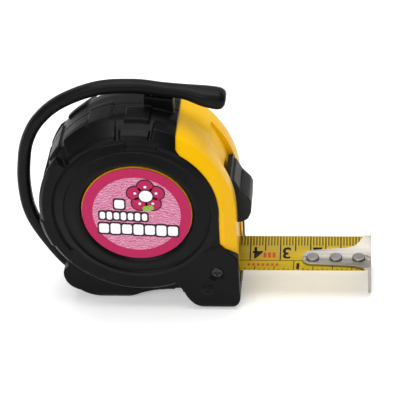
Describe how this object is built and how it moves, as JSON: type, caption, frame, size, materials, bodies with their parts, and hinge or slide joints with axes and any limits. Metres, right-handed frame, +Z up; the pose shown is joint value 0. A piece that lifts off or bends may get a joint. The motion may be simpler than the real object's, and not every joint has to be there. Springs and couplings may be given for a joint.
{
  "type": "tape measure",
  "caption": "Pocket tape measure with a rubber jacketed case, hand strap, slide lock and printed steel blade with an end hook.",
  "frame": {"origin": "on the floor, below the reel's axis, on the plane where the two case halves meet", "axes": "+X is the way the blade comes out, +Y is away from the label side, +Z is up"},
  "size_m": [0.1145, 0.0379, 0.0782],
  "materials": {
    "shell_plastic": "moulded gloss ABS",
    "jacket_rubber": "matte moulded TPR",
    "strap_rubber": "satin moulded TPR",
    "label_sheet": "printed vinyl",
    "lock_plastic": "fine texture",
    "inner_plastic": "plain moulded acetal",
    "steel": "zinc plated",
    "black_screw": "black oxide",
    "clip_steel": "satin",
    "hook_nickel": "satin nickel",
    "blade_paint": "printed lacquer on spring steel"
  },
  "bodies": {
    "case": {"front_shell": "shell_plastic", "rear_shell": "shell_plastic", "front_jacket": "jacket_rubber", "rear_jacket": "jacket_rubber", "front_label": "label_sheet", "hand_strap": "strap_rubber", "strap_pins": "steel", "centre_post": "inner_plastic", "centre_screw": "steel", "foot_screw": "black_screw", "belt_clip": "clip_steel", "clip_screw": "steel", "reel_washers": "inner_plastic", "mouth_bumper": "jacket_rubber", "blade_guide": "inner_plastic", "blade_lead": "blade_paint"},
    "reel": {"reel_drum": "inner_plastic", "reel_cover": "inner_plastic", "power_spring": "steel", "blade_coil": "blade_paint"},
    "blade": {"blade": "blade_paint", "hook_rivets": "steel"},
    "hook": {"end_hook": "hook_nickel"},
    "lock": {"lock_button": "lock_plastic", "lock_retainer": "lock_plastic"},
    "brake": {"brake_shoe": "inner_plastic", "brake_pad": "jacket_rubber"}
  },
  "joints": [
    {"name": "blade_slide", "type": "slide", "parent": "case", "child": "blade", "axis": [1, 0, 0], "range_m": [-0.0403, 0.008]},
    {"name": "hook_play", "type": "slide", "parent": "blade", "child": "hook", "axis": [1, 0, 0], "range_m": [-0.0009, 0]},
    {"name": "reel_turn", "type": "hinge", "parent": "case", "child": "reel", "pos_m": [0, 0, 0.039], "axis": [0, 1, 0], "range_deg": [-23, 114]},
    {"name": "lock_slide", "type": "hinge", "parent": "case", "child": "lock", "pos_m": [-0.015, 0, 0.034], "axis": [0, -1, 0], "range_deg": [0, 8]},
    {"name": "brake_slide", "type": "slide", "parent": "case", "child": "brake", "axis": [1, 0, 0], "range_m": [0, 0.0008]}
  ],
  "couplings": [
    {"joint": "reel_turn", "follows": "blade_slide", "rad_per_m": -49},
    {"joint": "brake_slide", "follows": "lock_slide", "m_per_rad": 0.0057}
  ]
}
